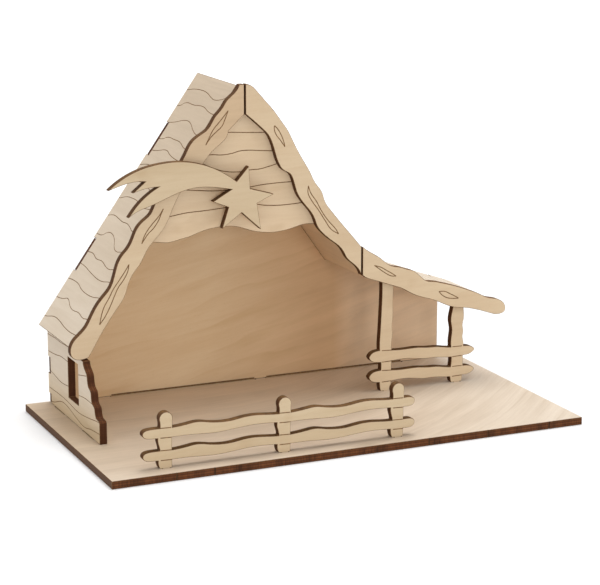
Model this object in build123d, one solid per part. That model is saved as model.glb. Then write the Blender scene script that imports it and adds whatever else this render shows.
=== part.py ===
from build123d import *
import os
from math import cos, radians, sin, tan

# A nativity stable cut from one thickness of plywood and slotted together: a base, a back panel, one side
# wall, three roof sheets, a gable, three rustic barge boards, a comet with a star, a lean-to frame and a front
# fence. Millimetres, +Z up. The origin is the middle of the base's underside. X runs along the front, Y to the
# back.

# Sheet and fits
ply = 4.0
slot_clearance = 0.15
tab_relief = 0.55
overrun = 6.0

# Base, and the places on it, measured from its ends or its front edge
base_length = 260.0
base_depth = 142.0
wall_inset = 13.3
panel_right_inset = 13.6
front_setback = 87.0
fence_setback = 8.5
rear_slit = 0.9

# Roofs, along their undersides from the inner peak. The eaves are what passes the wall and the back panel, and
# the peak stands at a share of the way from the wall's outside to the back panel's right edge.
peak_share = 0.3792
roof_pitch = 54.6
left_eave = 2.4
right_slope = 125.8
leanto_pitch = 19.8
leanto_lap = 1.2
leanto_eave = 8.0

# Tabs of the back panel and of the gable in the roofs, and of the back panel in the base and the wall
roof_tab = 20.0
leanto_tab = 14.0
base_tab = 85.0
base_tab_bridge = 6.5
base_tab_offset = 5.0
wall_tab = 8.5
wall_tab_height = 25.0
corner_tab = 5.0
roof_tab_shares = (0.24, 0.71)
leanto_tab_shares = (0.27, 0.82)
gable_tab_shares = (0.18, 0.42)
ledge = 5.0

# Side wall, up from the base
wall_height = 42.6
wall_foot_depth = 85.0
wall_head_gap = 0.3
wall_foot_tab = 16.0
wall_foot_tab_shares = (0.22, 0.78)
barge_seat_gap = 0.4
window_width = 17.0
window_height = 22.0
window_sill = 11.6
window_from_back = 35.0

# Barge boards. Widths are the nominal widths across the boards, which their wavy edges follow. The lean-to's
# board falls a little more steeply than the roof behind it.
barge_width = 12.0
barge_left_overhang = 10.0
barge_right_overhang = 0.2
barge_leanto_overhang = 16.8
barge_leanto_pitch = 23.0
barge_ridge_offset = 2.3
barge_ridge_rise = 6.4
barge_ridge_drop = 15.4
barge_ridge_flat = 2.6
barge_valley_offset = 5.9
barge_valley_rise = 14.8
barge_valley_drop = 15.6
barge_joint_gap = 0.8

# Gable, down from the inner peak
gable_drop = 73.2
gable_wave = 6.0

# Comet, from the tip of its tail to the right ray of its star, placed from the inner peak
comet_length = 91.0
comet_height = 39.0
comet_reach = 74.3
comet_drop = 69.2

# Front fence
fence_post_width = 6.4
fence_post_height = 28.4
fence_post_pitch = 62.6
fence_post_from_left = 27.6
fence_post_count = 3
fence_rail_height = 5.6
fence_rail_rise = 18.2
fence_rail_left_overhang = 8.8
fence_rail_right_overhang = 6.4

# Lean-to frame
leanto_post_width = 6.8
leanto_rail_height = 6.5
leanto_rail_rise = 19.0
leanto_rail_overhang = 7.4

# Both fences
rail_pitch = 11.3
rail_count = 2
post_tab = 4.0

# Wavy edges. Along a barge board the first share is of its length, the second of the nominal width, and the
# width is measured from the line of the board's pitch through the ridge, or through the lean-to joint.
barge_left_outer_shares = [
    (0.048, 0.215), (0.073, 0.30), (0.103, 0.295), (0.133, 0.355), (0.182, 0.345), (0.212, 0.515),
    (0.248, 0.64), (0.285, 0.585), (0.335, 0.545), (0.385, 0.525), (0.430, 0.575), (0.467, 0.55),
    (0.497, 0.49), (0.527, 0.60), (0.560, 0.655), (0.594, 0.565), (0.624, 0.53), (0.655, 0.58),
    (0.685, 0.53), (0.721, 0.365), (0.758, 0.25), (0.794, 0.30), (0.824, 0.325), (0.867, 0.27),
    (0.900, 0.23), (0.933, 0.315), (0.958, 0.365), (0.979, 0.30), (0.996, 0.115), (1.000, -0.125),
    (0.994, -0.32), (0.985, -0.475), (0.974, -0.61),
]
barge_left_inner_shares = [
    (0.974, -0.61), (0.952, -0.60), (0.900, -0.54), (0.848, -0.515), (0.794, -0.53), (0.752, -0.515),
    (0.715, -0.365), (0.685, -0.30), (0.642, -0.33), (0.597, -0.265), (0.558, -0.31), (0.509, -0.38),
    (0.467, -0.31), (0.424, -0.20), (0.382, -0.16), (0.333, -0.24), (0.273, -0.33), (0.236, -0.365),
    (0.206, -0.475), (0.179, -0.58), (0.148, -0.51),
]
barge_right_outer_shares = [
    (0.018, 0.18), (0.056, 0.275), (0.111, 0.335), (0.167, 0.40), (0.222, 0.41), (0.270, 0.415), (0.317, 0.35),
    (0.373, 0.265), (0.429, 0.215), (0.484, 0.165), (0.532, 0.09), (0.583, 0.10), (0.623, -0.025),
    (0.675, -0.035), (0.738, 0.01), (0.794, 0.065), (0.857, 0.125),
]
barge_right_inner_shares = [
    (0.929, -0.60), (0.889, -0.685), (0.857, -0.65), (0.825, -0.665), (0.778, -0.815), (0.722, -0.95),
    (0.690, -0.965), (0.651, -0.86), (0.611, -0.835), (0.563, -0.875), (0.516, -0.85), (0.456, -0.65),
    (0.429, -0.615), (0.397, -0.76), (0.365, -0.775), (0.302, -0.585), (0.262, -0.46), (0.230, -0.425),
    (0.194, -0.485), (0.135, -0.625),
]
barge_leanto_upper_shares = [
    (0.065, -0.10), (0.132, -0.19), (0.180, -0.31), (0.224, -0.335), (0.269, -0.265), (0.315, -0.24),
    (0.356, -0.215), (0.386, -0.275), (0.427, -0.39), (0.457, -0.435), (0.493, -0.365), (0.549, -0.285),
    (0.610, -0.225), (0.671, -0.185), (0.742, -0.16), (0.808, -0.165), (0.864, -0.185), (0.910, -0.115),
    (0.950, -0.11), (0.986, -0.235), (1.000, -0.50), (0.976, -0.71), (0.940, -0.815),
]
barge_leanto_lower_shares = [
    (0.940, -0.815), (0.874, -0.85), (0.813, -0.90), (0.752, -0.985), (0.686, -1.13), (0.625, -1.165),
    (0.534, -1.15), (0.462, -1.21), (0.396, -1.21), (0.315, -1.14), (0.264, -1.165), (0.203, -1.19),
    (0.142, -1.225), (0.091, -1.235),
]

# The gable's foot: shares of its width at the foot, and of its wave's height.
gable_foot_shares = [
    (0.060, 0.06), (0.125, -0.07), (0.185, 0.12), (0.233, 0.27), (0.288, 0.58), (0.358, 0.85), (0.413, 0.92),
    (0.469, 0.87), (0.516, 0.67), (0.566, 0.35), (0.622, 0.13), (0.678, 0.02), (0.735, 0.07), (0.788, 0.22),
    (0.850, 0.48), (0.930, 0.40),
]

# The comet: shares of its length and of its height.
tail_upper_shares = [
    (0.006, 0.676), (0.079, 0.803), (0.190, 0.922), (0.332, 0.988), (0.436, 0.992), (0.573, 0.928),
    (0.695, 0.797), (0.770, 0.674),
]
star_shares = [
    (0.770, 0.674), (0.846, 0.870), (0.853, 0.564), (0.999, 0.467), (0.895, 0.359), (0.919, 0.000),
    (0.800, 0.251), (0.679, 0.051), (0.720, 0.338), (0.625, 0.426), (0.740, 0.574),
]
tail_lower_shares = [
    (0.740, 0.574), (0.647, 0.613), (0.556, 0.633), (0.495, 0.623), (0.434, 0.592), (0.374, 0.544),
    (0.264, 0.446), (0.190, 0.390), (0.121, 0.297),
]
tail_third_tine_shares = [(0.121, 0.297), (0.212, 0.541), (0.303, 0.682)]
tail_second_tine_shares = [(0.303, 0.682), (0.210, 0.662), (0.149, 0.621)]
tail_second_edge_shares = [(0.149, 0.621), (0.225, 0.764)]
tail_first_tine_shares = [(0.225, 0.764), (0.164, 0.769), (0.090, 0.738), (0.006, 0.676)]

# The wall's wavy front edge: shares of its depth at the foot, and of its height.
wall_front_shares = [
    (0.000, 0.255), (0.012, 0.278), (0.060, 0.293), (0.080, 0.340), (0.091, 0.400), (0.131, 0.435),
    (0.146, 0.490), (0.155, 0.565), (0.195, 0.605), (0.211, 0.655), (0.221, 0.735), (0.258, 0.790),
    (0.288, 0.845),
]

# Rails and posts. A rail's first share is of a bay or of the rail's length and its second of the rail's
# height, from the rail's middle. A post's first share is of its width and its second of its height. The
# lean-to's posts stand at shares of the way from the right roof to the back panel's right edge.
fence_rail_top_shares = [
    (0.12, 0.38), (0.235, 0.51), (0.32, 0.60), (0.41, 0.44), (0.50, 0.32), (0.59, 0.32), (0.71, 0.50),
    (0.82, 0.53), (0.93, 0.42),
]
fence_rail_bottom_shares = [
    (0.105, -0.50), (0.235, -0.50), (0.355, -0.57), (0.47, -0.61), (0.585, -0.53), (0.705, -0.40),
    (0.82, -0.34), (0.95, -0.40),
]
fence_rail_end_shares = [
    (0.80, 0.41), (0.32, 0.38), (0.07, 0.23), (0.00, 0.00), (0.08, -0.27), (0.34, -0.44), (0.80, -0.48),
]
fence_post_left_shares = [(0.00, 0.00), (-0.14, 0.16), (0.00, 0.33), (-0.16, 0.50), (0.02, 0.70), (0.02, 0.84)]
fence_post_head_shares = [(0.02, 0.84), (0.53, 1.00), (1.04, 0.84)]
fence_post_right_shares = [(1.04, 0.84), (1.03, 0.70), (0.99, 0.50), (0.98, 0.33), (0.97, 0.00)]
leanto_rail_shares = [
    (0.000, 0.12), (0.025, 0.45), (0.090, 0.63), (0.220, 0.55), (0.370, 0.52), (0.450, 0.53), (0.560, 0.43),
    (0.640, 0.40), (0.755, 0.22), (0.910, 0.20), (0.980, 0.03), (1.000, -0.18), (0.975, -0.47), (0.900, -0.63),
    (0.755, -0.66), (0.600, -0.53), (0.525, -0.54), (0.370, -0.35), (0.220, -0.38), (0.085, -0.40),
    (0.022, -0.22), (0.000, 0.12),
]
leanto_post_shares = (0.1165, 0.7445)
leanto_left_post_left_shares = [
    (-0.04, 0.00), (-0.14, 0.08), (-0.02, 0.21), (-0.17, 0.38), (-0.13, 0.49), (-0.05, 0.65), (0.00, 0.76),
    (-0.01, 1.00),
]
leanto_left_post_right_shares = [
    (1.02, 1.00), (1.03, 0.90), (1.01, 0.75), (1.00, 0.64), (0.95, 0.58), (1.01, 0.51), (0.91, 0.42),
    (0.94, 0.36), (0.92, 0.21), (0.93, 0.00),
]
leanto_right_post_left_shares = [
    (-0.03, 0.00), (-0.14, 0.08), (-0.04, 0.24), (-0.08, 0.40), (-0.10, 0.50), (-0.02, 0.62), (-0.13, 0.71),
    (0.02, 0.85), (0.02, 1.00),
]
leanto_right_post_right_shares = [
    (1.05, 1.00), (1.05, 0.87), (1.06, 0.76), (0.97, 0.68), (1.04, 0.61), (0.98, 0.55), (1.08, 0.47),
    (1.06, 0.40), (1.05, 0.23), (0.94, 0.00),
]

# Places worked out from the sizes above
left = -base_length / 2
front = -base_depth / 2
back = base_depth / 2
roof_front = front + front_setback
roof_depth = back - roof_front
panel_front = back - ply
panel_right = base_length / 2 - panel_right_inset
barge_front = roof_front - ply
comet_front = barge_front - ply
wall_outside = left + wall_inset
wall_inside = wall_outside + ply
wall_front = back - wall_foot_depth
wall_head = ply + wall_height
eave_run = peak_share * (panel_right - wall_outside)
left_slope = eave_run / cos(radians(roof_pitch)) + left_eave
peak = (wall_outside + eave_run, wall_head + wall_head_gap + eave_run * tan(radians(roof_pitch)))
ridge_lap = ply / sin(radians(2 * roof_pitch))


def slope_point(origin, pitch, side, along, across):
    """A point of the X-Z plane, down a slope that falls left (side -1) or right (side 1), and out from it."""
    fall = radians(pitch)
    x = origin[0] + side * (along * cos(fall) + across * sin(fall))
    return (x, origin[1] - along * sin(fall) + across * cos(fall))


def roof_point(side, along, across):
    """A point of a main roof, along its underside from the inner peak and out from the underside."""
    return slope_point(peak, roof_pitch, side, along, across)


leanto_head = roof_point(1, right_slope - leanto_lap, ply)
leanto_width = panel_right - leanto_head[0]
leanto_run = leanto_width / cos(radians(leanto_pitch))
leanto_slope = leanto_run + leanto_eave


def leanto_point(along, across):
    """A point of the lean-to roof, along its underside from the right roof and out from the underside."""
    return slope_point(leanto_head, leanto_pitch, 1, along, across)


def leanto_underside(x):
    """The height of the lean-to roof's underside at a place along the front."""
    return leanto_head[1] - (x - leanto_head[0]) * tan(radians(leanto_pitch))


def polygon(points):
    """A flat face with straight edges."""
    return make_face(Polyline(*points, close=True))


def outline(*runs):
    """A closed face from runs of points: two points are a straight edge, more are one smooth curve."""
    return make_face([Line(*run) if len(run) == 2 else Spline(*run) for run in runs])


def standing(face, y_front, depth=ply):
    """A face of the X-Z plane given its depth, from y_front to the back."""
    return extrude(Plane.XZ.offset(-y_front) * face, amount=-depth)


def slope_patch(point, start, end, low, high):
    """A rectangle that lies on a slope, for a sheet's section, a tab or a notch."""
    return polygon([point(start, low), point(end, low), point(end, high), point(start, high)])


def left_roof_point(along, across):
    """A point of the left roof."""
    return roof_point(-1, along, across)


def right_roof_point(along, across):
    """A point of the right roof."""
    return roof_point(1, along, across)


def tab_spans(length, tab, shares):
    """The starts and ends of tabs along a slope."""
    return [(share * length - tab / 2, share * length + tab / 2) for share in shares]


def post_span(x):
    """The start and end, along the lean-to roof, of the tab on a post's head."""
    middle = (x + leanto_post_width / 2 - leanto_head[0]) / cos(radians(leanto_pitch))
    return (middle - post_tab / 2, middle + post_tab / 2)


# Tabs along the roofs, at the back panel, the gable and the lean-to's posts, and along the base and the wall
left_tabs = tab_spans(left_slope, roof_tab, roof_tab_shares)
right_tabs = tab_spans(right_slope, roof_tab, roof_tab_shares)
leanto_tabs = tab_spans(leanto_run, leanto_tab, leanto_tab_shares)
gable_tabs = tab_spans(left_slope, roof_tab, gable_tab_shares)
leanto_posts = [leanto_head[0] + share * leanto_width for share in leanto_post_shares]
post_spans = [post_span(x) for x in leanto_posts]
base_tab_spans = [
    (base_tab_offset - base_tab_bridge / 2 - base_tab, base_tab_offset - base_tab_bridge / 2),
    (base_tab_offset + base_tab_bridge / 2, base_tab_offset + base_tab_bridge / 2 + base_tab),
]
wall_tab_spans = tab_spans(wall_foot_depth, wall_foot_tab, wall_foot_tab_shares)
fence_posts = [left + fence_post_from_left + fence_post_pitch * place for place in range(fence_post_count)]


def post_tab_box(x, width, y_front):
    """The foot of a post that passes into the base."""
    middle = x + width / 2
    return (middle - post_tab / 2, middle + post_tab / 2, y_front, y_front + ply)


def base_slot(x_low, x_high, y_low, y_high):
    """A slot through the base round a tab's place."""
    length = x_high - x_low + 2 * slot_clearance
    width = y_high - y_low + 2 * slot_clearance
    place = Pos((x_low + x_high) / 2, (y_low + y_high) / 2, ply / 2)
    return place * Box(length, width, ply + 2 * overrun)


def base_plate():
    """The base, slotted for every upright that stands on it."""
    plate = Pos(0, 0, ply / 2) * Box(base_length, base_depth, ply)
    for start, end in base_tab_spans:
        plate -= base_slot(start, end, panel_front - rear_slit, back + overrun)
    for start, end in wall_tab_spans:
        plate -= base_slot(wall_outside, wall_inside, wall_front + start, wall_front + end)
    for x in fence_posts:
        plate -= base_slot(*post_tab_box(x, fence_post_width, front + fence_setback))
    for x in leanto_posts:
        plate -= base_slot(*post_tab_box(x, leanto_post_width, roof_front))
    return plate


def back_panel():
    """The back, cut to the three roof slopes, with tabs into the roofs, the wall and the base."""
    low = right_roof_point(right_slope, 0)
    step = low[0] + ledge
    face = polygon([
        (wall_inside, ply),
        (wall_inside, wall_head + wall_head_gap + ply * tan(radians(roof_pitch))),
        peak,
        low,
        (step, low[1]),
        (step, leanto_underside(step)),
        (panel_right, leanto_underside(panel_right)),
        (panel_right, ply),
    ])
    slopes = ((left_roof_point, left_tabs), (right_roof_point, right_tabs), (leanto_point, leanto_tabs))
    for point, spans in slopes:
        for start, end in spans:
            face += slope_patch(point, start, end, -ply, ply - tab_relief)
    for start, end in base_tab_spans:
        face += polygon([(start, tab_relief), (end, tab_relief), (end, 2 * ply), (start, 2 * ply)])
    for low_z, high_z in wall_notches():
        tab_end = wall_outside + tab_relief
        root = wall_inside + ply
        face += polygon([(tab_end, low_z), (root, low_z), (root, high_z), (tab_end, high_z)])
    return standing(face, panel_front)


def wall_notches():
    """The lowest and highest edges of the back panel's tabs in the wall's back edge."""
    return [(ply, ply + corner_tab), (wall_tab_height - wall_tab / 2, wall_tab_height + wall_tab / 2)]


def left_wall():
    """The side wall with its window, its wavy front edge and its tabs into the base."""
    wave = [(wall_front + y * wall_foot_depth, ply + z * wall_height) for y, z in wall_front_shares]
    under_barge = min(z for _, z in barge_left_edges()[0]) - barge_seat_gap
    behind_barge = roof_front + slot_clearance
    head = (wave[-1][0], under_barge)
    face = outline(
        wave,
        [wave[-1], head],
        [head, (behind_barge, under_barge)],
        [(behind_barge, under_barge), (behind_barge, wall_head)],
        [(behind_barge, wall_head), (back, wall_head)],
        [(back, wall_head), (back, ply)],
        [(back, ply), (wall_front, ply)],
        [(wall_front, ply), wave[0]],
    )
    for start, end in wall_tab_spans:
        face += polygon([(wall_front + start, tab_relief), (wall_front + end, tab_relief),
                         (wall_front + end, 2 * ply), (wall_front + start, 2 * ply)])
    sill = ply + window_sill
    window_back = back - window_from_back
    face -= polygon([(window_back - window_width, sill), (window_back, sill),
                     (window_back, sill + window_height), (window_back - window_width, sill + window_height)])
    for low_z, high_z in wall_notches():
        notch_front = panel_front - slot_clearance
        notch_foot = low_z - slot_clearance
        notch_head = high_z + slot_clearance
        face -= polygon([(notch_front, notch_foot), (back + overrun, notch_foot),
                         (back + overrun, notch_head), (notch_front, notch_head)])
    return extrude(Plane.YZ.offset(wall_outside) * face, amount=ply)


def roof_sheet(point, start, end, back_spans, front_spans):
    """A roof sheet along a slope, notched at its back and front edges for the tabs that carry it."""
    sheet = standing(slope_patch(point, start, end, 0, ply), roof_front, roof_depth)
    for spans, y_low in ((back_spans, panel_front - slot_clearance), (front_spans, roof_front - overrun)):
        for low, high in spans:
            notch = slope_patch(point, low - slot_clearance, high + slot_clearance, -overrun, ply + overrun)
            sheet -= standing(notch, y_low, ply + slot_clearance + overrun)
    return sheet


def gable_panel():
    """The gable under the main roofs, with its wavy foot and its tabs into the roofs' front edges."""
    half = gable_drop / tan(radians(roof_pitch))
    foot_height = peak[1] - gable_drop
    corners = [(peak[0] - half, foot_height), (peak[0] + half, foot_height)]
    foot = [(corners[0][0] + x * 2 * half, foot_height + z * gable_wave) for x, z in gable_foot_shares]
    face = outline([corners[0], *foot, corners[1]], [corners[1], peak], [peak, corners[0]])
    for point in (left_roof_point, right_roof_point):
        for start, end in gable_tabs:
            face += slope_patch(point, start, end, -ply, ply - tab_relief)
    return standing(face, roof_front)


def barge_points(origin, pitch, side, length, shares):
    """Points along a barge board's edge."""
    return [slope_point(origin, pitch, side, along * length, across * barge_width) for along, across in shares]


barge_ridge = (peak[0] + barge_ridge_offset, peak[1] + barge_ridge_rise)
barge_ridge_foot = barge_ridge[1] - barge_ridge_drop
barge_valley = (leanto_head[0] - barge_valley_offset, leanto_head[1] + barge_valley_rise)
barge_valley_foot = barge_valley[1] - barge_valley_drop


def barge_left_edges():
    """The outer and inner edges of the left barge board."""
    length = left_slope + barge_left_overhang
    outer = barge_points(barge_ridge, roof_pitch, -1, length, barge_left_outer_shares)
    return outer, barge_points(barge_ridge, roof_pitch, -1, length, barge_left_inner_shares)


def barge_left():
    """The left barge board, from the ridge to its rounded foot at the eave."""
    outer, inner = barge_left_edges()
    head = (barge_ridge[0] - barge_joint_gap / 2, barge_ridge[1])
    heel = (head[0], barge_ridge_foot)
    shoulder = (head[0] - barge_ridge_flat, head[1])
    face = outline([head, shoulder], [shoulder, *outer], inner, [inner[-1], heel], [heel, head])
    return standing(face, barge_front)


def barge_right():
    """The right barge board, from the ridge to the lean-to joint."""
    length = right_slope + barge_right_overhang
    outer = barge_points(barge_ridge, roof_pitch, 1, length, barge_right_outer_shares)
    inner = barge_points(barge_ridge, roof_pitch, 1, length, barge_right_inner_shares)
    head = (barge_ridge[0] + barge_joint_gap / 2, barge_ridge[1])
    heel = (head[0], barge_ridge_foot)
    end = (barge_valley[0] - barge_joint_gap / 2, barge_valley[1])
    toe = (end[0], barge_valley_foot)
    face = outline([head, *outer, end], [end, toe], [toe, *inner, heel], [heel, head])
    return standing(face, barge_front)


def barge_leanto():
    """The lean-to's barge board, from the joint to its rounded tip."""
    length = leanto_slope + barge_leanto_overhang
    upper = barge_points(barge_valley, barge_leanto_pitch, 1, length, barge_leanto_upper_shares)
    lower = barge_points(barge_valley, barge_leanto_pitch, 1, length, barge_leanto_lower_shares)
    head = (barge_valley[0] + barge_joint_gap / 2, barge_valley[1])
    heel = (head[0], barge_valley_foot)
    face = outline([head, *upper], [*lower, heel], [heel, head])
    return standing(face, barge_front)


def comet_star():
    """The comet: a five-rayed star and a tail that splits into three tines, cut in one piece."""
    tip = peak[0] - comet_reach
    foot = peak[1] - comet_drop

    def places(shares):
        return [(tip + x * comet_length, foot + z * comet_height) for x, z in shares]

    star = places(star_shares)
    rays = [[star[index], star[index + 1]] for index in range(len(star) - 1)]
    tail = [tail_lower_shares, tail_third_tine_shares, tail_second_tine_shares, tail_second_edge_shares,
            tail_first_tine_shares]
    face = outline(places(tail_upper_shares), *rays, *[places(shares) for shares in tail])
    return standing(face, comet_front)


def leanto_frame():
    """The lean-to's two posts and two rails, cut in one piece, with tabs into the base and the roof."""
    def post(x, left_shares, right_shares):
        def places(shares, head):
            return [(x + across * leanto_post_width, ply + up * (head - ply)) for across, up in shares]

        left_edge = places(left_shares, leanto_underside(x + left_shares[-1][0] * leanto_post_width))
        right_edge = places(right_shares, leanto_underside(x + right_shares[0][0] * leanto_post_width))
        return outline(left_edge, [left_edge[-1], right_edge[0]], right_edge, [right_edge[-1], left_edge[0]])

    edges = ((leanto_left_post_left_shares, leanto_left_post_right_shares),
             (leanto_right_post_left_shares, leanto_right_post_right_shares))
    posts = [post(x, *shares) for x, shares in zip(leanto_posts, edges)]
    face = posts[0] + posts[1]
    start = leanto_posts[0] - leanto_rail_overhang
    length = leanto_posts[-1] + leanto_post_width + leanto_rail_overhang - start
    for rail in range(rail_count):
        middle = ply + leanto_rail_rise - rail * rail_pitch
        face += outline([(start + x * length, middle + z * leanto_rail_height) for x, z in leanto_rail_shares])
    for x, span in zip(leanto_posts, post_spans):
        low, high, _, _ = post_tab_box(x, leanto_post_width, roof_front)
        face += polygon([(low, tab_relief), (high, tab_relief), (high, 2 * ply), (low, 2 * ply)])
        face += slope_patch(leanto_point, *span, -ply, ply - tab_relief)
    return standing(face, roof_front)


def front_fence():
    """The front fence's posts and rails, cut in one piece, with tabs into the base."""
    def post(x):
        def places(shares):
            return [(x + across * fence_post_width, ply + up * fence_post_height) for across, up in shares]

        left_edge = places(fence_post_left_shares)
        right_edge = places(fence_post_right_shares)
        head = ThreePointArc(*places(fence_post_head_shares))
        return make_face([Spline(*left_edge), head, Spline(*right_edge), Line(right_edge[-1], left_edge[0])])

    def rail(middle):
        def end_places(post_side, overhang):
            return [(post_side + (1 - reach) * overhang, middle + z * fence_rail_height)
                    for reach, z in fence_rail_end_shares]

        def edge_places(shares):
            return [(x + along * fence_post_pitch, middle + z * fence_rail_height)
                    for x in fence_posts[:-1] for along, z in shares]

        left_end = end_places(fence_posts[0], -fence_rail_left_overhang)
        right_end = end_places(fence_posts[-1] + fence_post_width, fence_rail_right_overhang)
        top = edge_places(fence_rail_top_shares)
        bottom = edge_places(fence_rail_bottom_shares)
        return outline([*left_end[::-1], *top, *right_end, *bottom[::-1], left_end[-1]])

    face = post(fence_posts[0])
    for x in fence_posts[1:]:
        face += post(x)
    for place in range(rail_count):
        face += rail(ply + fence_rail_rise - place * rail_pitch)
    for x in fence_posts:
        low, high, _, _ = post_tab_box(x, fence_post_width, front + fence_setback)
        face += polygon([(low, tab_relief), (high, tab_relief), (high, 2 * ply), (low, 2 * ply)])
    return standing(face, front + fence_setback)


pieces = {
    "base_plate": base_plate(),
    "back_panel": back_panel(),
    "left_wall": left_wall(),
    "roof_left": roof_sheet(left_roof_point, -ridge_lap, left_slope, left_tabs, gable_tabs),
    "roof_right": roof_sheet(right_roof_point, 0, right_slope, right_tabs, gable_tabs),
    "leanto_roof": roof_sheet(leanto_point, 0, leanto_slope, leanto_tabs, post_spans),
    "gable_panel": gable_panel(),
    "barge_left": barge_left(),
    "barge_right": barge_right(),
    "barge_leanto": barge_leanto(),
    "comet_star": comet_star(),
    "leanto_frame": leanto_frame(),
    "front_fence": front_fence(),
}

os.makedirs("parts", exist_ok=True)
for name, solid in pieces.items():
    export_step(solid, f"parts/{name}.step")
    print(name, round(solid.volume))
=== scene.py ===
import logging
import math
from dataclasses import dataclass, field
from enum import Enum, IntEnum
from typing import ClassVar

import bpy
from mathutils import Matrix, Vector


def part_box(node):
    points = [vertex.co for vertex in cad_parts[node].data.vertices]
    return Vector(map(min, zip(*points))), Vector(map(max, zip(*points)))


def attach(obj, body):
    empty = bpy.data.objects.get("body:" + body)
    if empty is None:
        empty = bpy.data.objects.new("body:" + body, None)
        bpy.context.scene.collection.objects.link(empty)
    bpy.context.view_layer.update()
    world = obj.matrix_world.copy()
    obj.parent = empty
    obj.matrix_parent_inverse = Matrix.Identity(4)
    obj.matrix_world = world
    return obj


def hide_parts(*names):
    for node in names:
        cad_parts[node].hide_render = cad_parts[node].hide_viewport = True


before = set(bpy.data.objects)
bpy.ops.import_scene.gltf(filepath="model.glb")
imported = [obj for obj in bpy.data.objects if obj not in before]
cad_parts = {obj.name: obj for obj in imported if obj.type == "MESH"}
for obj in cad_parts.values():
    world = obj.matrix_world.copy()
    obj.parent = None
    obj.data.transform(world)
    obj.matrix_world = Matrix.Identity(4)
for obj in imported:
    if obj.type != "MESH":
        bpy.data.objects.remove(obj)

log = logging.getLogger("nativity_stable")

Point = tuple[float, float]
Line = list[Point]
Colour = tuple[float, float, float]
Socket = bpy.types.NodeSocket

MM = 0.001
CM = 0.01
SHEET = 4 * MM
ROOF_PITCH = math.radians(54.6)
LEANTO_PITCH = math.radians(19.8)
LEANTO_BARGE_PITCH = math.radians(23.0)
BARGE_JOINT_GAP = 0.8 * MM
BODY = "root"
X_AXIS = Vector((1, 0, 0))
Y_AXIS = Vector((0, 1, 0))
Z_AXIS = Vector((0, 0, 1))

# How squarely a face has to look out of the sheet to count as its show face or its back.
FACING = 0.9

# The colour sockets of the mix node, by their places among its inputs and outputs.
MIX_FIRST = 6
MIX_SECOND = 7
MIX_RESULT = 2

# Engraved courses of the roofs. A course is a wavy line across the roof: shares of the depth, from the back
# edge, and heights in millimetres up the slope from the eave.
ROOF_COURSES: list[Line] = [
    [(0.02, 5.8), (0.24, 8.3), (0.39, 8.2), (0.60, 7.0), (0.78, 6.6), (0.93, 7.0)],
    [(0.00, 17.7), (0.19, 18.8), (0.28, 20.2), (0.44, 17.5), (0.54, 16.7), (0.70, 17.3), (0.87, 16.3),
     (0.96, 17.0)],
    [(0.00, 29.3), (0.14, 29.9), (0.31, 29.7), (0.45, 28.2), (0.64, 27.6), (0.80, 28.1), (0.96, 29.6)],
    [(0.07, 39.6), (0.22, 39.3), (0.43, 38.1), (0.64, 37.2), (0.78, 37.4), (0.95, 39.1)],
    [(0.07, 46.9), (0.21, 47.4), (0.36, 45.9), (0.51, 46.3), (0.67, 44.9), (0.77, 44.6), (0.86, 45.5)],
    [(0.00, 57.7), (0.17, 58.4), (0.21, 59.8), (0.27, 61.2), (0.39, 61.1), (0.49, 59.2), (0.61, 55.2),
     (0.71, 54.5), (0.79, 55.3)],
    [(0.00, 68.9), (0.14, 70.5), (0.31, 70.0), (0.43, 69.5), (0.55, 69.8), (0.68, 68.5), (0.73, 67.7)],
    [(0.03, 80.1), (0.17, 82.3), (0.33, 83.0), (0.46, 82.8), (0.65, 81.0), (0.85, 81.8)],
    [(0.05, 90.5), (0.25, 92.6), (0.45, 92.0), (0.65, 90.4), (0.85, 91.4)],
    [(0.00, 100.8), (0.10, 102.0), (0.21, 102.8), (0.45, 102.3), (0.70, 100.5), (0.90, 101.2)],
    [(0.05, 110.6), (0.19, 111.5), (0.40, 113.7), (0.54, 112.1), (0.73, 111.0)],
    [(0.08, 118.0), (0.17, 118.8), (0.23, 120.2), (0.43, 120.6), (0.58, 120.4), (0.74, 118.3)],
    [(0.02, 127.8), (0.19, 129.4), (0.36, 131.9), (0.47, 132.5), (0.57, 131.5), (0.70, 128.7), (0.82, 127.3)],
    [(0.01, 138.2), (0.10, 139.4), (0.14, 140.9), (0.38, 141.7), (0.61, 142.5), (0.76, 141.0), (0.94, 140.3)],
    [(0.01, 148.4), (0.16, 149.9), (0.31, 150.6), (0.49, 150.3), (0.64, 148.6), (0.74, 147.9), (0.89, 149.3),
     (0.97, 150.8)],
]

# Engraved boards of the gable: millimetres across from the peak, and down from it.
GABLE_BOARDS: list[Line] = [
    [(-14.0, 18.2), (-4.9, 18.5), (5.0, 19.2), (15.0, 19.8)],
    [(-22.0, 30.2), (-15.0, 29.5), (-9.1, 30.0), (-3.8, 29.6), (1.0, 28.6), (5.1, 28.5), (12.3, 29.1),
     (22.0, 30.0)],
    [(-26.0, 31.5), (-19.2, 34.2), (-13.5, 36.8), (-8.0, 38.6), (0.9, 39.5), (6.6, 38.9), (11.9, 38.8),
     (17.0, 37.8), (27.0, 35.5)],
    [(-35.0, 46.0), (-24.0, 47.4), (-10.0, 48.6), (6.5, 47.9), (11.9, 47.3), (19.8, 46.9), (34.0, 46.8)],
    [(-43.5, 60.6), (-37.8, 59.9), (-27.7, 58.7), (-20.7, 58.5), (-7.4, 57.7), (2.0, 57.0), (10.4, 57.4),
     (14.7, 58.2), (21.9, 58.8), (28.4, 58.8), (42.5, 58.0)],
]

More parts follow.
